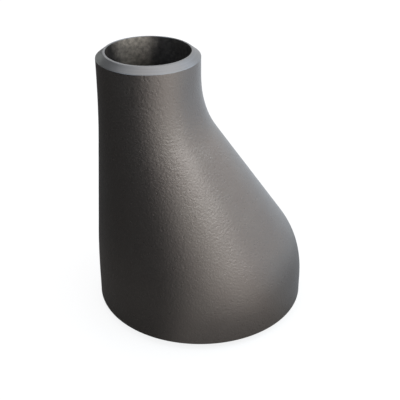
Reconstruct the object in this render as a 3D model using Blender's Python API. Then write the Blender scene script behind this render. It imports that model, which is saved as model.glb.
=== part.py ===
"""Eccentric butt-weld pipe reducer, 1 1/2 inch by 1/2 inch, pressed in one piece from steel tube.

The part stands on its large end. One side runs straight up, so both ends are flush there,
and the other side slopes in an S-curve. Lengths are in metres, angles in degrees, and +Z is up.
The origin is the centre of the large end's face, and the sloping side is towards +X.
"""

import math

import bmesh
import bpy
from mathutils import Matrix, Vector

# Outside diameters of the two ends and the length between their faces.
LARGE_DIAMETER = 0.0483
SMALL_DIAMETER = 0.0213
LENGTH = 0.0640

# Wall at each end. The flat side and the slope thin evenly from one to the other.
LARGE_WALL = 0.00277
SMALL_WALL = 0.00211

# Weld preparation: the flat land left at the bore, and the bevel's angle from the end face.
LAND = 0.0006
BEVEL_ANGLE = 37.5

# Straight collars that the press leaves at the two ends, measured from the end faces.
LARGE_COLLAR = 0.0060
SMALL_COLLAR = 0.0055

# Outside radii of the sloping side where it leaves the large collar and joins the small one.
SHOULDER_RADIUS = 0.0225
NECK_RADIUS = 0.0225

# The slope keeps at least this share of its run straight between the two curves.
LEAST_STRAIGHT_SHARE = 0.02

# Facets round each section, and bands along each curve of the slope.
SEGMENTS = 72
CURVE_STEPS = 9

# Dark bare steel, blasted to an even grain.
STEEL_COLOUR = (0.130, 0.122, 0.116, 1.0)
STEEL_ROUGHNESS = 0.55
STEEL_METALLIC = 1.0

SHARP_EDGE_ANGLE = 30.0


def clear_scene():
    """Removes whatever objects the scene holds."""
    for scene_object in list(bpy.data.objects):
        bpy.data.objects.remove(scene_object, do_unlink=True)


def blend_radii():
    """Shoulder and neck radii, drawn in together where the slope has too little room for them."""
    shift = LARGE_DIAMETER - SMALL_DIAMETER
    rise = LENGTH - LARGE_COLLAR - SMALL_COLLAR
    room = (shift ** 2 + rise ** 2) / (2.0 * shift) * (1.0 - LEAST_STRAIGHT_SHARE)
    share = min(1.0, room / (SHOULDER_RADIUS + NECK_RADIUS))
    return SHOULDER_RADIUS * share, NECK_RADIUS * share


def slope_outline(large_inset, small_inset):
    """Points (x, z) of the sloping side in the XZ plane, from the large collar to the small one.

    The shoulder and the neck are arcs, and the longest band, between them, is the straight slope.
    Each inset is the distance into the wall at that end. The inner line keeps the outer line's
    centres of curvature, so the wall holds its thickness square to the slope.
    """
    shoulder_outer, neck_outer = blend_radii()
    large_side = LARGE_DIAMETER / 2.0
    small_side = SMALL_DIAMETER - large_side
    shoulder_centre = Vector((large_side - shoulder_outer, LARGE_COLLAR))
    neck_centre = Vector((small_side + neck_outer, LENGTH - SMALL_COLLAR))
    shoulder = shoulder_outer - large_inset
    neck = neck_outer + small_inset

    between = neck_centre - shoulder_centre
    bearing = math.atan2(between.y, between.x)
    turn = bearing - math.acos((shoulder + neck) / between.length)
    angles = [turn * step / CURVE_STEPS for step in range(CURVE_STEPS + 1)]

    outline = []
    for angle in angles:
        outline.append(shoulder_centre + shoulder * Vector((math.cos(angle), math.sin(angle))))
    for angle in reversed(angles):
        outline.append(neck_centre - neck * Vector((math.cos(angle), math.sin(angle))))
    return outline


def flat_wall(height):
    """Wall on the flat side at a height, thinning evenly between the two collars."""
    rise = LENGTH - LARGE_COLLAR - SMALL_COLLAR
    share = min(1.0, max(0.0, (height - LARGE_COLLAR) / rise))
    return LARGE_WALL + (SMALL_WALL - LARGE_WALL) * share


def outer_sections():
    """Sections (left x, right x, z) up the outside, from the large land to the small land."""
    flat_side = -LARGE_DIAMETER / 2.0
    large_side = LARGE_DIAMETER / 2.0
    small_side = flat_side + SMALL_DIAMETER
    bevel_slope = math.tan(math.radians(BEVEL_ANGLE))
    large_cut = LARGE_WALL - LAND
    small_cut = SMALL_WALL - LAND

    large_bevel = [
        (flat_side + large_cut, large_side - large_cut, 0.0),
        (flat_side, large_side, large_cut * bevel_slope),
    ]
    slope = [(flat_side, point.x, point.y) for point in slope_outline(0.0, 0.0)]
    small_bevel = [
        (flat_side, small_side, LENGTH - small_cut * bevel_slope),
        (flat_side + small_cut, small_side - small_cut, LENGTH),
    ]
    return large_bevel + slope + small_bevel


def inner_sections():
    """Sections (left x, right x, z) up the bore, from the large end to the small end."""
    flat_side = -LARGE_DIAMETER / 2.0
    large_side = LARGE_DIAMETER / 2.0
    small_side = flat_side + SMALL_DIAMETER

    large_bore = (flat_side + LARGE_WALL, large_side - LARGE_WALL, 0.0)
    outline = slope_outline(LARGE_WALL, SMALL_WALL)
    slope = [(flat_side + flat_wall(point.y), point.x, point.y) for point in outline]
    small_bore = (flat_side + SMALL_WALL, small_side - SMALL_WALL, LENGTH)
    return [large_bore] + slope + [small_bore]


def add_ring(mesh, section):
    """Adds one round section to the mesh and gives back its vertices in order."""
    left, right, height = section
    place = Matrix.Translation(((left + right) / 2.0, 0.0, height))
    made = bmesh.ops.create_circle(
        mesh, cap_ends=False, segments=SEGMENTS, radius=(right - left) / 2.0, matrix=place)
    return made["verts"]


def join_rings(mesh, ring, following):
    """Skins the band between two sections, facet by facet."""
    for index in range(SEGMENTS):
        beside = (index + 1) % SEGMENTS
        mesh.faces.new((ring[index], ring[beside], following[beside], following[index]))


def loft_closed(name, sections):
    """Lofts a tube wall through the sections in turn and back to the first, as one closed mesh."""
    mesh = bmesh.new()
    rings = [add_ring(mesh, section) for section in sections]
    for ring, following in zip(rings, rings[1:] + rings[:1]):
        join_rings(mesh, ring, following)
    bmesh.ops.recalc_face_normals(mesh, faces=mesh.faces)

    data = bpy.data.meshes.new(name)
    mesh.to_mesh(data)
    mesh.free()
    data.shade_smooth()
    data.set_sharp_from_angle(angle=math.radians(SHARP_EDGE_ANGLE))
    return data


def blasted_steel():
    """Bare carbon steel, dulled and darkened by blasting."""
    material = bpy.data.materials.new("blasted_steel")
    material.use_nodes = True
    shader = material.node_tree.nodes["Principled BSDF"]
    shader.inputs["Base Color"].default_value = STEEL_COLOUR
    shader.inputs["Roughness"].default_value = STEEL_ROUGHNESS
    shader.inputs["Metallic"].default_value = STEEL_METALLIC
    material.diffuse_color = STEEL_COLOUR
    return material


def build_reducer():
    """The reducer: outside, small end, bore and large end in one loft."""
    sections = outer_sections() + inner_sections()[::-1]
    data = loft_closed("reducer_body", sections)
    data.materials.append(blasted_steel())
    body = bpy.data.objects.new("reducer_body", data)
    bpy.context.scene.collection.objects.link(body)
    return body


def main():
    clear_scene()
    build_reducer()


main()
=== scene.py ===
"""Looks of a butt-weld eccentric reducer: blasted steel skin, turned weld bevels and a scaled bore.

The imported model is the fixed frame. The body is lofted again at a fine pitch inside it, with the
small edge rounds and the surface relief that a pressed and blasted fitting has.
"""

import math

import bpy
import numpy as np
from bpy.props import FloatProperty, FloatVectorProperty, IntProperty, PointerProperty
from mathutils import Matrix, Vector, noise


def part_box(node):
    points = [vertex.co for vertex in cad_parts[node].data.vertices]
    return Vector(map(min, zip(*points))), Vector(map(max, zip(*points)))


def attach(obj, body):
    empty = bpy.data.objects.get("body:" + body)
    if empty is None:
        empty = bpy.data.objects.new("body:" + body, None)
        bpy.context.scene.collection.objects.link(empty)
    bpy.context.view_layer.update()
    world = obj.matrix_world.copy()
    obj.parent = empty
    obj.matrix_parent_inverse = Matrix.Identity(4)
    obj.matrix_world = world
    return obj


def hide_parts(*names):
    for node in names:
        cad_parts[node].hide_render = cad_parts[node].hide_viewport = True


bl_info = {
    "name": "Eccentric Reducer Looks",
    "version": (1, 0, 0),
    "blender": (4, 5, 0),
    "location": "3D View > Sidebar > Reducer",
    "description": "Finished surface of an eccentric pipe reducer, and a plain studio round it",
    "category": "Add Mesh",
}

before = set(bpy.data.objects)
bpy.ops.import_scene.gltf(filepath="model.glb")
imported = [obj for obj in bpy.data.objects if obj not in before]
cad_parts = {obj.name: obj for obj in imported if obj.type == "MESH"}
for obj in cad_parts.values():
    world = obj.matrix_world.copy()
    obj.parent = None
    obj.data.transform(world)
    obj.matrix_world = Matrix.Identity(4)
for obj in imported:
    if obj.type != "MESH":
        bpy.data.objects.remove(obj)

NODE = "reducer_body"
BODY = "root"
LOWEST, HIGHEST = (Vector(corner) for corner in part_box(NODE))
LARGE_DIAMETER = HIGHEST.x - LOWEST.x
LENGTH = HIGHEST.z - LOWEST.z

MM = 0.001

# Directions from +X towards +Y: the way that the small bore's mouth is off centre, where the flat
# round it is narrowest, and the side of the bore that is painted lighter, as painted light where
# light falls on its wall.
MOUTH_TURN = math.radians(50.0)
PAINTED_LIGHT_TURN = math.radians(76.0)

# Shares of the pitch that divide the outline before it is eased, the turned edges and the bore.
FINE_SHARE = 0.125
EDGE_SHARE = 0.6
BORE_SHARE = 2.4

# Fractal noise of the slow relief: how fast its finer layers fade, how much finer each is than the
# one before, and how many there are.
RELIEF_FADE = 0.6
RELIEF_STEP = 2.0
RELIEF_LAYERS = 3

# Material slots of the body, in the order that the loft numbers its bands.
SKIN, TURNED, BORE = range(3)


def linear(hex_colour):
    """Turns an sRGB hex colour such as 8C8A86 into linear RGBA."""
    channels = [int(hex_colour[place:place + 2], 16) / 255.0 for place in (0, 2, 4)]
    flat = [
        value / 12.92 if value <= 0.04045 else ((value + 0.055) / 1.055) ** 2.4
        for value in channels
    ]
    return (*flat, 1.0)


def length_property(label, words, millimetres):
    """A length that a user can change, with its default given in millimetres."""
    return FloatProperty(
        name=label, description=words, default=millimetres * MM, min=0.0,
        unit="LENGTH", subtype="DISTANCE", precision=5)


def colour_property(label, words, hex_colour):
    """A colour that a user can change, with its default given as sRGB hex."""
    return FloatVectorProperty(
        name=label, description=words, default=linear(hex_colour), size=4, min=0.0, max=1.0,
        subtype="COLOR")


class ReducerSizes(bpy.types.PropertyGroup):
    """Sizes of the fitting that the frame's box doesn't give."""

    small_diameter: length_property("Small Diameter", "Outside diameter of the small end", 21.3)
    large_wall: length_property("Large Wall", "Wall at the large end", 2.77)
    small_wall: length_property("Small Wall", "Wall at the small end", 2.11)
    land: length_property("Land", "Flat left between the weld bevel and the bore", 0.6)
    mouth_wide: length_property(
        "Mouth Wide", "How much wider the small bore's mouth is, in radius", 0.17)
    mouth_shift: length_property(
        "Mouth Shift", "How far off centre the small bore's mouth is", 0.22)
    mouth_depth: length_property("Mouth Depth", "How far in the small bore's mouth goes", 9.0)
    bevel_angle: FloatProperty(
        name="Bevel Angle", description="Angle of the weld bevels from the end faces",
        default=math.radians(37.5), subtype="ANGLE", unit="ROTATION")
    large_collar: length_property("Large Collar", "Straight stretch at the large end", 6.0)
    small_collar: length_property("Small Collar", "Straight stretch at the small end", 5.5)
    shoulder_radius: length_property(
        "Shoulder Radius", "Outside radius above the large collar", 22.5)
    neck_radius: length_property("Neck Radius", "Outside radius below the small collar", 22.5)
    blend: length_property("Blend", "Distance over which straights ease into curves", 2.0)
    edge_round: length_property("Edge Round", "Radius left on the turned edges", 0.09)
    relief: length_property("Relief", "Depth of the pressed surface's slow unevenness", 0.018)
    relief_pitch: length_property("Relief Pitch", "Spacing of that unevenness", 3.2)
    segments: IntProperty(
        name="Segments", description="Facets round each section", default=384, min=24)
    pitch: length_property("Pitch", "Spacing of the sections up the outside", 0.49)


class ReducerFinish(bpy.types.PropertyGroup):
    """Colours and grain of the steel."""

    skin_dark: colour_property("Skin Dark", "Blasted skin in its darker patches", "817975")
    skin_light: colour_property("Skin Light", "Blasted skin in its lighter patches", "8A847F")
    turned: colour_property("Turned", "Freshly turned steel of the bevels", "8D8E90")
    turned_shade: colour_property("Turned Shade", "Turned steel where it has dulled", "767779")
    bore: colour_property("Bore", "Near-black scale inside", "393634")
    # Painted light: the bore's lit side drawn lighter brown-grey, fading with depth into the scale
    # colour.
    bore_painted_light: colour_property("Bore Painted Light", "Brown-grey bloom on one side of the bore", "938A80")
    grain: length_property("Grain", "Spacing of the blasting's pits", 0.46)
    grain_depth: length_property("Grain Depth", "Depth of the blasting's pits", 0.075)


class StudioSettings(bpy.types.PropertyGroup):
    """Camera, floor, even light and graded card of the studio."""

    camera_reach: length_property(
        "Camera Reach", "Level distance from the large end's axis", 166.50)
    camera_height: length_property(
        "Camera Height", "Height of the camera over the floor", 120.03)
    camera_turn: FloatProperty(
        name="Camera Turn", description="Turn of the camera round the part, from -Y towards -X",
        default=math.radians(39.705), subtype="ANGLE", unit="ROTATION")
    camera_pitch: FloatProperty(
        name="Camera Pitch", description="How far the camera looks down",
        default=math.radians(29.819), subtype="ANGLE", unit="ROTATION")
    focal_length: FloatProperty(
        name="Focal Length", description="Lens focal length on a 36 mm wide sensor",
        default=74.17, unit="CAMERA")
    floor_colour: colour_property("Floor Colour", "Pale floor", "F2F2F2")
    floor_glow: FloatProperty(
        name="Floor Glow", description="Share of the floor that shows as plain white", default=0.8,
        min=0.0, max=1.0, subtype="FACTOR")
    fill: FloatProperty(
        name="Fill", description="Level of the even light from all round", default=1.0, min=0.0)
    # The graded card shows only in reflections. Its dark side is painted shade for the shadowed
    # floor and dark studio on the camera's left.
    card_colour: colour_property("Card Colour", "Dark side of the graded card", "404040")
    # The pale side is a painted reflection of lit floor, warm in front and cool on the right.
    card_warm: colour_property("Card Warm", "Pale side of the graded card, in front", "CAC6C2")
    card_cool: colour_property("Card Cool", "Pale side of the graded card, on the right", "C2C8CE")
    card_start: FloatProperty(
        name="Card Start", description="Azimuth where the card's dark side starts, behind the part",
        default=math.radians(105.0), subtype="ANGLE", unit="ROTATION")
    card_start_blend: FloatProperty(
        name="Card Start Blend", description="Angle over which the card turns from pale to dark",
        default=math.radians(45.0), subtype="ANGLE", unit="ROTATION")
    card_end: FloatProperty(
        name="Card End", description="Azimuth where the card's dark side ends, near the camera",
        default=math.radians(275.0), subtype="ANGLE", unit="ROTATION")
    card_end_blend: FloatProperty(
        name="Card End Blend", description="Angle over which the card turns back to pale",
        default=math.radians(75.0), subtype="ANGLE", unit="ROTATION")
    card_reach: length_property("Card Reach", "How far out the card lies", 500.0)
    card_rise: length_property("Card Rise", "Height of the dark side's turned-up edge", 750.0)
    card_top_shade: FloatProperty(
        name="Card Top Shade", description="How dark the turned-up edge is along its top",
        default=0.6, min=0.0, max=1.0, subtype="FACTOR")
    # The grey round the foot is the part's painted shadow on the floor, seen only in reflections.
    foot_shade_reach: length_property(
        "Foot Shade Reach", "How far out the grey round the foot goes", 60.0)


def eased_outline(sizes, large_inset, small_inset, pitch):
    """Sloping side's line in the XZ plane, from the large collar to the small one.

    Two arcs and the straight between them, read at an even pitch and eased where they meet.
    """
    large_side = LARGE_DIAMETER / 2.0
    small_side = sizes.small_diameter - large_side
    shoulder_centre = np.array((large_side - sizes.shoulder_radius, sizes.large_collar))
    neck_centre = np.array((small_side + sizes.neck_radius, LENGTH - sizes.small_collar))
    shoulder = sizes.shoulder_radius - large_inset
    neck = sizes.neck_radius + small_inset

    between = neck_centre - shoulder_centre
    apart = math.hypot(*between)
    turn = math.atan2(between[1], between[0]) - math.acos((shoulder + neck) / apart)
    straight = math.sqrt(apart ** 2 - (shoulder + neck) ** 2)

    # The side's lean along its run: turned in by the shoulder, turned back by the neck. The margin
    # is a straight stretch at both ends, as long as half the bell that eases the joins.
    runs = (shoulder * turn, straight, neck * turn)
    bell_width = 0.5 * sizes.blend
    margin = 8.0 * bell_width
    step = pitch * FINE_SHARE
    run = np.arange(-margin, sum(runs) + margin, step)
    turned_in = np.clip(run / runs[0], 0.0, 1.0)
    turned_back = np.clip((run - runs[0] - runs[1]) / runs[2], 0.0, 1.0)
    lean = turn * (turned_in - turned_back)
    bell = np.exp(-0.5 * (np.arange(-margin, margin, step) / bell_width) ** 2)
    padded = np.pad(lean, len(bell) // 2, mode="edge")
    eased = np.convolve(padded, bell / bell.sum(), mode="same")[len(bell) // 2:][:len(run)]

    x = large_side - large_inset - np.cumsum(np.sin(eased)) * step
    z = sizes.large_collar - margin + np.cumsum(np.cos(eased)) * step

    # Easing cuts the corners by a few hundredths of a millimetre, which is shared out evenly.
    share = np.clip((run + margin) / (run[-1] + margin), 0.0, 1.0)
    x += (small_side - small_inset - x[-1]) * share
    z += (LENGTH - sizes.small_collar + margin - z[-1]) * share
    return x, z


def weld_end(sizes, wall):
    """One end's bevel and land as points (inset, depth under the face), from outside to bore."""
    cut = wall - sizes.land
    drop = cut * math.tan(sizes.bevel_angle)

    # The first and last points only give the directions of the outside and the bore.
    chain = [(0.0, 2.0 * drop), (0.0, drop), (cut, 0.0), (wall, 0.0), (wall, drop)]
    points = []
    for before, corner, after in zip(chain, chain[1:], chain[2:]):
        points.extend(rounded_corner(before, corner, after, sizes.edge_round))
    return points


def rounded_corner(before, corner, after, radius, steps=4):
    """Points of a small arc that takes the place of a corner."""
    here = Vector(corner)
    back = (Vector(before) - here).normalized()
    ahead = (Vector(after) - here).normalized()
    half = back.angle(ahead) / 2.0
    reach = radius / math.tan(half)
    middle = here + (back + ahead).normalized() * (radius / math.sin(half))
    start = here + back * reach - middle
    end = here + ahead * reach - middle
    return [middle + start.slerp(end, step / steps) * radius for step in range(steps + 1)]


def spread(points, pitch):
    """Adds points along the straights of a chain, so that none is longer than the pitch."""
    filled = [points[0]]
    for point in points[1:]:
        gap = (point - filled[-1]).length
        parts = max(1, math.ceil(gap / pitch))
        start = filled[-1]
        filled.extend(start.lerp(point, part / parts) for part in range(1, parts + 1))
    return filled


def sections_of(sizes):
    """Round sections (left x, right x, z, band) in one closed turn.

    They go up the outside, over the small end, down the bore and round the large end.
    """
    flat_side = -LARGE_DIAMETER / 2.0
    large_side = LARGE_DIAMETER / 2.0
    small_side = flat_side + sizes.small_diameter
    small_chain = weld_end(sizes, sizes.small_wall)
    large_chain = weld_end(sizes, sizes.large_wall)
    edge_pitch = sizes.pitch * EDGE_SHARE
    bore_pitch = sizes.pitch * BORE_SHARE

    start = (large_side, large_chain[0].y)
    stop = (small_side, LENGTH - small_chain[0].y)
    outline = eased_outline(sizes, 0.0, 0.0, sizes.pitch)
    rows = outline_rows(outline, start, stop, sizes.pitch)
    sections = [(flat_side, right, height, SKIN) for right, height in rows]

    for point in spread(small_chain, edge_pitch)[1:]:
        sections.append((flat_side + point.x, small_side - point.x, LENGTH - point.y, TURNED))

    start = (large_side - sizes.large_wall, large_chain[-1].y)
    stop = (small_side - sizes.small_wall, LENGTH - small_chain[-1].y)
    outline = eased_outline(sizes, sizes.large_wall, sizes.small_wall, sizes.pitch)
    rows = outline_rows(outline, start, stop, bore_pitch)
    rise = LENGTH - sizes.large_collar - sizes.small_collar
    for right, height in rows[::-1][1:]:
        share = min(1.0, max(0.0, (height - sizes.large_collar) / rise))
        wall = sizes.large_wall + (sizes.small_wall - sizes.large_wall) * share
        sections.append((flat_side + wall, right, height, BORE))

    for point in spread(large_chain, edge_pitch)[::-1][1:-1]:
        sections.append((flat_side + point.x, large_side - point.x, point.y, TURNED))
    return sections


def outline_rows(outline, start, stop, pitch):
    """Reads an outline at an even pitch from one end point (x, z) up to the other."""
    x, z = outline
    inside = (z > start[1]) & (z < stop[1])
    x = np.concatenate(([start[0]], x[inside], [stop[0]]))
    z = np.concatenate(([start[1]], z[inside], [stop[1]]))
    run = np.concatenate(([0.0], np.cumsum(np.hypot(np.diff(x), np.diff(z)))))
    marks = np.linspace(0.0, run[-1], max(2, round(run[-1] / pitch)))
    return list(zip(np.interp(marks, run, x).tolist(), np.interp(marks, run, z).tolist()))


def loft(name, sections, sizes):
    """Lofts the closed wall through its sections, with a UV map in metres along and round it."""
    count = sizes.segments
    rows = len(sections)
    table = np.array([section[:3] for section in sections])
    bands = [section[3] for section in sections]
    mouth = mouth_share(table, sizes)
    shift = mouth * sizes.mouth_shift
    centre_x = (table[:, 0] + table[:, 1]) / 2.0 + shift * math.cos(MOUTH_TURN)
    centre_y = shift * math.sin(MOUTH_TURN)
    radius = (table[:, 1] - table[:, 0]) / 2.0 + mouth * sizes.mouth_wide
    angles = np.linspace(0.0, 2.0 * math.pi, count, endpoint=False)
    points = np.empty((rows, count, 3))
    points[:, :, 0] = centre_x[:, None] + radius[:, None] * np.cos(angles)
    points[:, :, 1] = centre_y[:, None] + radius[:, None] * np.sin(angles)
    points[:, :, 2] = table[:, 2, None]

    index = np.arange(rows * count).reshape(rows, count)
    beside = np.roll(index, -1, axis=1)
    above = np.roll(index, -1, axis=0)
    across = np.roll(above, -1, axis=1)
    quads = np.stack((index, beside, across, above), axis=-1).reshape(-1, 4)

    mesh = bpy.data.meshes.new(name)
    mesh.from_pydata(points.reshape(-1, 3).tolist(), [], quads.tolist())
    mesh.polygons.foreach_set("material_index", np.repeat(bands_between(bands), count))
    add_wall_map(mesh, table, radius.mean(), count)
    mesh.shade_smooth()
    mesh.update()
    return mesh


def add_wall_map(mesh, table, mean_radius, count):
    """Adds the wall's UV map: v runs along its path and u round it, both in metres."""
    path = np.hypot(np.diff(table[:, 1]), np.diff(table[:, 2]))
    along = np.concatenate(([0.0], np.cumsum(path), [path.sum()]))
    round_it = np.linspace(0.0, 2.0 * math.pi * mean_radius, count + 1)
    corners = np.empty((len(table), count, 4, 2))
    corners[:, :, 0, 0] = corners[:, :, 3, 0] = round_it[:-1]
    corners[:, :, 1, 0] = corners[:, :, 2, 0] = round_it[1:]
    corners[:, :, 0, 1] = corners[:, :, 1, 1] = along[:-1, None]
    corners[:, :, 2, 1] = corners[:, :, 3, 1] = along[1:, None]
    layer = mesh.uv_layers.new(name="wall_metres")
    layer.uv.foreach_set("vector", corners.ravel())


def mouth_share(table, sizes):
    """Each section's part in the small bore's mouth: 0 outside, 1 at its edge and 0 deep in."""
    inset = table[:, 0] + LARGE_DIAMETER / 2.0
    across = np.clip((inset - sizes.small_wall + sizes.land) / sizes.land, 0.0, 1.0)
    depth = np.clip((LENGTH - table[:, 2]) / sizes.mouth_depth, 0.0, 1.0)
    return across * (1.0 - depth) ** 2


def bands_between(bands):
    """Material of each strip of facets: the bore starts at the last point of the turned end."""
    strips = []
    for band, following in zip(bands, bands[1:] + bands[:1]):
        edge = TURNED in (band, following) and following != BORE
        strips.append(TURNED if edge else following)
    return np.array(strips)


def add_relief(mesh, sizes):
    """Presses slow unevenness into the skin and the bore, always into the metal."""
    normals = np.empty(len(mesh.vertices) * 3)
    mesh.vertex_normals.foreach_get("vector", normals)
    normals = normals.reshape(-1, 3)
    skin = set()
    for polygon in mesh.polygons:
        if polygon.material_index != TURNED:
            skin.update(polygon.vertices)
    for polygon in mesh.polygons:
        if polygon.material_index == TURNED:
            skin.difference_update(polygon.vertices)
    for index in skin:
        vertex = mesh.vertices[index]
        place = vertex.co / sizes.relief_pitch
        height = 0.5 + 0.5 * noise.fractal(place, RELIEF_FADE, RELIEF_STEP, RELIEF_LAYERS)
        vertex.co -= Vector(normals[index]) * sizes.relief * min(1.0, max(0.0, height))


def add_node(tree, kind, settings=None, **inputs):
    """Adds a node with its settings, and sets or links each input by its name or as _number."""
    node = tree.nodes.new(kind)
    for name, value in (settings or {}).items():
        setattr(node, name, value)
    for name, value in inputs.items():
        numbered = name[1:].isdigit()
        socket = node.inputs[int(name[1:]) if numbered else name.replace("_", " ")]
        if isinstance(value, bpy.types.NodeSocket):
            tree.links.new(value, socket)
        else:
            socket.default_value = value
    return node


def new_material(name):
    """A new material, with its node tree and its Principled shader."""
    material = bpy.data.materials.new(name)
    material.use_nodes = True
    tree = material.node_tree
    return material, tree, tree.nodes["Principled BSDF"]


def blasted_carbon_steel(finish):
    """Shot-blasted carbon steel: dull and dark, with an even pebbly grain that scatters light."""
    material, tree, shader = new_material("blasted_carbon_steel")
    place = add_node(tree, "ShaderNodeTexCoord").outputs["Object"]
    patch_width = 9.0 * MM
    patches = add_node(
        tree, "ShaderNodeTexNoise", Vector=place, Scale=1.0 / patch_width, Detail=3.0,
        Roughness=0.55)
    colour = add_node(
        tree, "ShaderNodeMix", {"data_type": "RGBA"}, _0=patches.outputs["Fac"],
        _6=finish.skin_dark, _7=finish.skin_light)

    # The shot's pits are finer than the render can show, so they are drawn as coarse as they need
    # to be to show.
    pits = add_node(
        tree, "ShaderNodeTexNoise", Vector=place, Scale=1.0 / finish.grain, Detail=2.0,
        Roughness=0.6)
    bump = add_node(
        tree, "ShaderNodeBump", Height=pits.outputs["Fac"], Distance=finish.grain_depth,
        Strength=1.0)
    rough = add_node(
        tree, "ShaderNodeMapRange", Value=pits.outputs["Fac"], From_Min=0.3, From_Max=0.7,
        To_Min=0.27, To_Max=0.37)
    tree.links.new(colour.outputs[2], shader.inputs["Base Color"])
    tree.links.new(rough.outputs[0], shader.inputs["Roughness"])
    tree.links.new(bump.outputs[0], shader.inputs["Normal"])
    shader.inputs["Metallic"].default_value = 1.0
    return material


def turned_steel(finish):
    """Steel cut on a lathe: brighter and smoother than the skin, with fine rings from the tool."""
    material, tree, shader = new_material("turned_steel")
    wall = add_node(tree, "ShaderNodeUVMap", {"uv_map": "wall_metres"}).outputs[0]

    # The tool's rings are about a tenth of a millimetre apart, and are drawn coarser to show.
    ring_spacing = 0.24 * MM
    ring_length = 25.0 * MM
    ring_depth = 0.01 * MM
    rings_place = add_node(
        tree, "ShaderNodeMapping", Vector=wall, Scale=(1.0 / ring_length, 1.0 / ring_spacing, 1.0))
    rings = add_node(
        tree, "ShaderNodeTexNoise", Vector=rings_place.outputs[0], Scale=1.0, Detail=2.0,
        Roughness=0.7)
    colour = add_node(
        tree, "ShaderNodeMix", {"data_type": "RGBA"}, _0=rings.outputs["Fac"],
        _6=finish.turned_shade, _7=finish.turned)
    bump = add_node(
        tree, "ShaderNodeBump", Height=rings.outputs["Fac"], Distance=ring_depth, Strength=1.0)
    tree.links.new(colour.outputs[2], shader.inputs["Base Color"])
    tree.links.new(bump.outputs[0], shader.inputs["Normal"])
    shader.inputs["Roughness"].default_value = 0.42
    shader.inputs["Metallic"].default_value = 1.0
    return material


def scaled_bore_steel(finish):
    """Hot-pressed near-black scale inside, with brown-grey painted light on one side fading with
    depth.
    """
    material, tree, shader = new_material("scaled_bore_steel")
    place = add_node(tree, "ShaderNodeTexCoord").outputs["Object"]
    small_diameter = finish.id_data.reducer_sizes.small_diameter
    small_end = Vector(((small_diameter - LARGE_DIAMETER) / 2.0, 0.0, LENGTH))
    toward = Vector((math.cos(PAINTED_LIGHT_TURN), math.sin(PAINTED_LIGHT_TURN), 0.0))
    painted_light_depth = 58.0 * MM
    cloud_width = 3.0 * MM
    pit_spacing = 0.8 * MM
    pit_depth = 0.08 * MM

    # The painted light lies to one side of the small end's axis, where light falls into the bore,
    # thins with depth as painted shade deeper in, and has a cloudy border.
    from_axis = add_node(
        tree, "ShaderNodeVectorMath", {"operation": "SUBTRACT"}, _0=place, _1=small_end)
    level = add_node(
        tree, "ShaderNodeVectorMath", {"operation": "MULTIPLY"}, _0=from_axis.outputs[0],
        _1=(1.0, 1.0, 0.0))
    way = add_node(tree, "ShaderNodeVectorMath", {"operation": "NORMALIZE"}, _0=level.outputs[0])
    side = add_node(
        tree, "ShaderNodeVectorMath", {"operation": "DOT_PRODUCT"}, _0=way.outputs[0], _1=toward)
    depth = add_node(
        tree, "ShaderNodeVectorMath", {"operation": "DOT_PRODUCT"}, _0=from_axis.outputs[0],
        _1=(0.0, 0.0, 1.0 / painted_light_depth))
    cloud = add_node(
        tree, "ShaderNodeTexNoise", Vector=place, Scale=1.0 / cloud_width, Detail=4.0,
        Roughness=0.6)
    uneven = add_node(
        tree, "ShaderNodeMapRange", Value=cloud.outputs["Fac"], From_Min=0.3, From_Max=0.7,
        To_Min=-0.03, To_Max=0.03)
    side_and_depth = add_node(
        tree, "ShaderNodeMath", {"operation": "ADD"}, _0=side.outputs["Value"],
        _1=depth.outputs["Value"])
    mark = add_node(
        tree, "ShaderNodeMath", {"operation": "ADD"}, _0=side_and_depth.outputs[0],
        _1=uneven.outputs[0])
    # Share of painted light on the bore's lit side, giving way to painted shade deeper in.
    painted_light = add_node(
        tree, "ShaderNodeMapRange", {"interpolation_type": "SMOOTHSTEP"}, Value=mark.outputs[0],
        From_Min=0.75, From_Max=0.99)
    colour = add_node(
        tree, "ShaderNodeMix", {"data_type": "RGBA"}, _0=painted_light.outputs[0], _6=finish.bore,
        _7=finish.bore_painted_light)

    # Pits and flakes of scale mottle the colour too. They are drawn coarser than they are, to show.
    pits = add_node(
        tree, "ShaderNodeTexNoise", Vector=place, Scale=1.0 / pit_spacing, Detail=3.0,
        Roughness=0.6)
    bump = add_node(
        tree, "ShaderNodeBump", Height=pits.outputs["Fac"], Distance=pit_depth, Strength=1.0)
    mottle = add_node(
        tree, "ShaderNodeMapRange", Value=pits.outputs["Fac"], From_Min=0.35, From_Max=0.65,
        To_Min=0.72, To_Max=1.28)
    mottled = add_node(
        tree, "ShaderNodeVectorMath", {"operation": "SCALE"}, _0=colour.outputs[2],
        Scale=mottle.outputs[0])
    tree.links.new(mottled.outputs[0], shader.inputs["Base Color"])
    tree.links.new(bump.outputs[0], shader.inputs["Normal"])
    shader.inputs["Roughness"].default_value = 0.5
    shader.inputs["Metallic"].default_value = 0.7
    return material


class REDUCER_OT_body(bpy.types.Operator):
    """Lofts the fitting's finished surface in place of the frame's faceted one"""

    bl_idname = "reducer.body"
    bl_label = "Reducer Body"

    def execute(self, context):
        sizes = context.scene.reducer_sizes
        finish = context.scene.reducer_finish
        mesh = loft("reducer_surface", sections_of(sizes), sizes)
        add_relief(mesh, sizes)
        for make in (blasted_carbon_steel, turned_steel, scaled_bore_steel):
            mesh.materials.append(make(finish))
        body = bpy.data.objects.new("reducer_surface", mesh)
        context.scene.collection.objects.link(body)
        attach(body, BODY)
        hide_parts(NODE)
        return {"FINISHED"}


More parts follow.
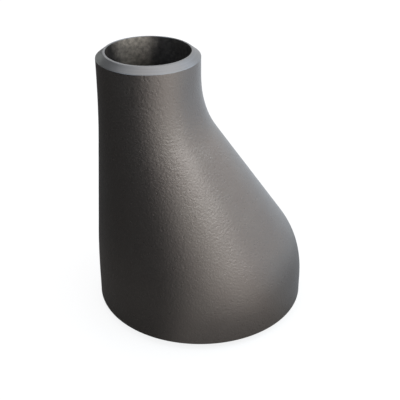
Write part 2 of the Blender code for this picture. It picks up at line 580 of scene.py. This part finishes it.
# Soft boxes: azimuth from the camera's right towards the back and elevation in degrees, width and
# height in metres, radiance (a white card in full view of 1 shows as white) and colour. All are
# equally far from the part's middle.
LAMP_REACH = 0.50
LAMPS = (
    ("high_right_box", -45.0, 58.0, 0.24, 0.22, 1.75, "DCEDFF"),
    ("high_side_box", 0.0, 58.0, 0.24, 0.22, 0.99, "FFEAD5"),
    ("high_back_box", 90.0, 58.0, 0.24, 0.22, 1.85, "FCFEFF"),
    ("top_box", 0.0, 88.0, 0.26, 0.26, 0.63, "FFE8D5"),
    ("right_box", -15.0, 33.0, 0.24, 0.21, 3.12, "D5F2FF"),
    ("right_rear_box", 15.0, 33.0, 0.24, 0.21, 3.26, "D5E7FF"),
    ("left_box", 225.0, 33.0, 0.24, 0.21, 3.69, "D5EBFF"),
    ("low_left_box", -105.0, 11.0, 0.26, 0.17, 0.96, "FBF7FF"),
    ("low_front_box", -75.0, 11.0, 0.26, 0.17, 1.69, "F1FCFF"),
    ("low_right_box", -45.0, 11.0, 0.26, 0.17, 1.60, "F0FAFF"),
    ("low_rear_box", 45.0, 11.0, 0.26, 0.17, 0.44, "D5EFFF"),
    ("low_back_box", 135.0, 11.0, 0.26, 0.17, 1.22, "FCFFF8"),
)

# Grey patches on the graded card round the foot, the part's painted shadow on the floor as
# reflections show
# it: where each is moved to, as an azimuth in degrees and a distance in millimetres, and how dark
# it is.
FOOT_SHADES = ((-122.0, 9.0, 0.72), (12.0, 18.0, 0.6))

# The floor: how far out it goes in metres, how far inside the part's foot its own disc of paper
# ends, and its steps round.
FLOOR_REACH = 3.0
DISC_INSET = 2.6 * MM
FLOOR_STEPS = 96

# The graded card: its height over the floor, how clear of the part it starts, its steps round, and
# the rings over which the grey round the foot, the part's painted shadow, fades.
CARD_LIFT = 0.1 * MM
CARD_CLEARANCE = 0.2 * MM
CARD_STEPS = 120
CARD_RINGS = 8

# Share of the turned-up edge's height up to which it keeps its full tone of painted shade.
CARD_FULL_RISE = 0.24

# The card's pale side, a painted reflection of lit floor, is cool about this azimuth, in degrees,
# and turns to warm between two cosines of the angle from it.
COOL_AZIMUTH = 30.0
COOL_BLEND = (0.3, 0.9)

# How much the first grey patch of painted shadow takes off the dark side's tone of painted shade
# beside it.
PATCH_EASE = 0.08


def bearing(azimuth, elevation=0.0):
    """Direction out from the part, for an azimuth from the camera's right towards the back."""
    turn = math.radians(azimuth) - bpy.context.scene.studio_settings.camera_turn
    rise = math.radians(elevation)
    level = math.cos(rise)
    return Vector((math.cos(turn) * level, math.sin(turn) * level, math.sin(rise)))


def add_lamp(name, azimuth, elevation, width, height, radiance, colour):
    """A soft box aimed at the part, out of the camera's sight."""
    lamp = bpy.data.lights.new(name, "AREA")
    lamp.shape = "RECTANGLE"
    lamp.size = width
    lamp.size_y = height
    lamp.energy = radiance * math.pi * width * height
    lamp.color = linear(colour)[:3]
    holder = bpy.data.objects.new(name, lamp)
    bpy.context.scene.collection.objects.link(holder)
    away = bearing(azimuth, elevation)
    holder.location = Vector((0.0, 0.0, LENGTH / 2.0)) + away * LAMP_REACH
    holder.rotation_euler = away.to_track_quat("Z", "Y").to_euler()
    holder.visible_camera = False


class REDUCER_OT_stage(bpy.types.Operator):
    """Sets up the pale floor, the white backdrop, the graded card, the soft boxes and the camera"""

    bl_idname = "reducer.stage"
    bl_label = "Studio Stage"

    def execute(self, context):
        settings = context.scene.studio_settings
        add_floor(settings)
        add_backdrop(settings)
        add_card(settings)
        for lamp in LAMPS:
            add_lamp(*lamp)
        add_camera(settings)
        context.scene.view_settings.view_transform = "Standard"
        return {"FINISHED"}


def stage_object(name, points, faces, material):
    """A mesh of the studio, which isn't part of the reducer."""
    mesh = bpy.data.meshes.new(name)
    mesh.from_pydata([tuple(point) for point in points], [], faces)
    mesh.materials.append(material)
    made = bpy.data.objects.new(name, mesh)
    bpy.context.scene.collection.objects.link(made)
    return made


def seen_as_background(tree):
    """1 for rays that see the set itself: the camera's, and those off metal and through glass."""
    rays = add_node(tree, "ShaderNodeLightPath").outputs
    either = add_node(
        tree, "ShaderNodeMath", {"operation": "MAXIMUM"}, _0=rays["Is Camera Ray"],
        _1=rays["Is Glossy Ray"])
    return add_node(
        tree, "ShaderNodeMath", {"operation": "MAXIMUM"}, _0=either.outputs[0],
        _1=rays["Is Transmission Ray"]).outputs[0]


def white_paper(settings):
    """Matt white paper, which shows as white itself and takes a faint shadow."""
    material, tree, shader = new_material("matt_white_paper")
    shader.inputs["Base Color"].default_value = settings.floor_colour
    shader.inputs["Roughness"].default_value = 0.9
    glow = add_node(tree, "ShaderNodeEmission", Color=(1.0, 1.0, 1.0, 1.0), Strength=1.0)
    share = add_node(
        tree, "ShaderNodeMath", {"operation": "MULTIPLY"}, _0=seen_as_background(tree),
        _1=settings.floor_glow)
    mix = add_node(
        tree, "ShaderNodeMixShader", _0=share.outputs[0], _1=shader.outputs[0], _2=glow.outputs[0])
    tree.links.new(mix.outputs[0], tree.nodes["Material Output"].inputs["Surface"])
    return material


def shaded_paper(settings):
    """The same paper under the part, where it only has the light that reaches it."""
    material, _, shader = new_material("matt_paper_under_part")
    shader.inputs["Base Color"].default_value = settings.floor_colour
    shader.inputs["Roughness"].default_value = 0.9
    return material


def add_floor(settings):
    """A wide pale floor, with its own disc of paper where the part stands."""
    steps = FLOOR_STEPS
    radius = LARGE_DIAMETER / 2.0 - DISC_INSET
    angles = [2.0 * math.pi * step / steps for step in range(steps)]
    ring = [Vector((radius * math.cos(angle), radius * math.sin(angle), 0.0)) for angle in angles]
    far = [point * (FLOOR_REACH / radius) for point in ring]
    faces = []
    for step in range(steps):
        following = (step + 1) % steps
        faces.append((step, steps + step, steps + following, following))
    stage_object("studio_floor", ring + far, faces, white_paper(settings))
    stage_object("floor_under_part", ring, [tuple(range(steps))], shaded_paper(settings))


def graded_paper():
    """Matt paper whose tones, dark grey to pale, are painted shade and painted reflection; no
    sheen.
    """
    material, tree, shader = new_material("matt_graded_paper")
    tone = add_node(tree, "ShaderNodeAttribute", {"attribute_name": "tone"}).outputs["Color"]
    tree.links.new(tone, shader.inputs["Base Color"])
    shader.inputs["Roughness"].default_value = 1.0
    shader.inputs["Specular IOR Level"].default_value = 0.0
    return material


def smooth_share(value, start, end):
    """0 before start, 1 after end and an even S between them."""
    share = min(1.0, max(0.0, (value - start) / (end - start)))
    return share * share * (3.0 - 2.0 * share)


def turning_share(azimuth, middle, blend):
    """0 before an angle, 1 after it, over a blend in radians; the azimuth is in degrees."""
    return smooth_share(math.radians(azimuth), middle - blend / 2.0, middle + blend / 2.0)


def add_card(settings):
    """A graded card under and round the part, which only reflections show.

    It is dark on the camera's left, where its edge turns up, as painted shade, grey in patches
    round the foot as the part's painted shadow, and pale elsewhere as a painted reflection of lit
    floor.
    """
    foot = LARGE_DIAMETER / 2.0 + CARD_CLEARANCE
    grey_reach = settings.foot_shade_reach
    reaches = [foot + (grey_reach - foot) * ring / CARD_RINGS for ring in range(CARD_RINGS + 1)]

    # Rows out along the card: distance, share of the turned-up edge's height, and depth of tone of
    # painted shade.
    rows = [(reach, 0.0, 1.0) for reach in reaches]
    rows.append((settings.card_reach, 0.0, 1.0))
    rows.append((settings.card_reach, CARD_FULL_RISE, 1.0))
    rows.append((settings.card_reach, 1.0, settings.card_top_shade))
    patches = [(bearing(azimuth) * shift * MM, depth) for azimuth, shift, depth in FOOT_SHADES]
    warm = Vector(settings.card_warm)
    cool = Vector(settings.card_cool)
    deep = Vector(settings.card_colour)
    points = []
    tones = []
    for step in range(CARD_STEPS):
        azimuth = 360.0 * step / CARD_STEPS
        dark = turning_share(azimuth, settings.card_start, settings.card_start_blend)
        dark *= 1.0 - turning_share(azimuth, settings.card_end, settings.card_end_blend)
        # Painted reflection: the pale side's tint turns from warm to cool round the part.
        from_cool = math.cos(math.radians(azimuth - COOL_AZIMUTH))
        pale = warm.lerp(cool, smooth_share(from_cool, *COOL_BLEND))
        flat = bearing(azimuth)
        for reach, rise, depth in rows:
            place = flat * reach
            points.append(place + Vector((0.0, 0.0, CARD_LIFT + rise * dark * settings.card_rise)))
            # Painted shadow of the part round the foot, and painted shade on the card's dark side.
            near = [
                strength * (1.0 - smooth_share((place - shift).length, foot, grey_reach))
                for shift, strength in patches
            ]
            shade = max(dark * depth * (1.0 - PATCH_EASE * near[0]), *near)
            tones.extend(pale.lerp(deep, shade))

    count = len(rows)
    faces = []
    for step in range(CARD_STEPS):
        for row in range(count - 1):
            here = step * count + row
            there = (step + 1) % CARD_STEPS * count + row
            faces.append((here, here + 1, there + 1, there))
    card = stage_object("graded_card", points, faces, graded_paper())
    tone = card.data.attributes.new("tone", "FLOAT_COLOR", "POINT")
    tone.data.foreach_set("color", tones)
    card.visible_camera = False
    card.visible_diffuse = False
    card.visible_shadow = False


def add_backdrop(settings):
    """White all round for the camera and in reflections, and a plain level of light elsewhere."""
    world = bpy.data.worlds.new("studio_world")
    world.use_nodes = True
    tree = world.node_tree
    strength = add_node(
        tree, "ShaderNodeMapRange", Value=seen_as_background(tree), To_Min=settings.fill,
        To_Max=1.0)
    backdrop = tree.nodes["Background"]
    backdrop.inputs["Color"].default_value = (1.0, 1.0, 1.0, 1.0)
    tree.links.new(strength.outputs[0], backdrop.inputs["Strength"])
    bpy.context.scene.world = world


def add_camera(settings):
    """The camera, at the photograph's height, distance and direction."""
    pitch = settings.camera_pitch
    turn = settings.camera_turn
    forward = Vector((0.0, math.cos(pitch), -math.sin(pitch)))
    side = Vector((1.0, 0.0, 0.0))
    place = Vector((0.0, -settings.camera_reach, settings.camera_height))
    upright = side.cross(forward)
    columns = Matrix((side, upright, -forward)).transposed()
    swing = Matrix.Rotation(-turn, 4, "Z")
    data = bpy.data.cameras.new("photo_camera")
    data.sensor_width = 36.0
    data.lens = settings.focal_length
    data.clip_start = 0.01
    camera = bpy.data.objects.new("photo_camera", data)
    camera.matrix_world = swing @ Matrix.Translation(place) @ columns.to_4x4()
    bpy.context.scene.collection.objects.link(camera)
    bpy.context.scene.camera = camera


class REDUCER_PT_panel(bpy.types.Panel):
    """Sidebar panel with the reducer's sizes, finish and studio"""

    bl_label = "Reducer"
    bl_idname = "REDUCER_PT_panel"
    bl_space_type = "VIEW_3D"
    bl_region_type = "UI"
    bl_category = "Reducer"

    def draw(self, context):
        layout = self.layout
        for settings_name in GROUPS:
            group = getattr(context.scene, settings_name)
            box = layout.box()
            for name in group.__annotations__:
                box.prop(group, name)
        layout.operator(REDUCER_OT_body.bl_idname)
        layout.operator(REDUCER_OT_stage.bl_idname)


GROUPS = {
    "reducer_sizes": ReducerSizes,
    "reducer_finish": ReducerFinish,
    "studio_settings": StudioSettings,
}
CLASSES = (*GROUPS.values(), REDUCER_OT_body, REDUCER_OT_stage, REDUCER_PT_panel)


def register():
    """Registers the classes and hangs the settings on the scene."""
    for kind in CLASSES:
        bpy.utils.register_class(kind)
    for name, group in GROUPS.items():
        setattr(bpy.types.Scene, name, PointerProperty(type=group))


def unregister():
    """Takes the settings and the classes away again."""
    for name in GROUPS:
        delattr(bpy.types.Scene, name)
    for kind in reversed(CLASSES):
        bpy.utils.unregister_class(kind)


def main():
    """Builds the piece and the stage."""
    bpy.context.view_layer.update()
    register()
    bpy.ops.reducer.body()
    bpy.ops.reducer.stage()


if __name__ == "__main__":
    main()
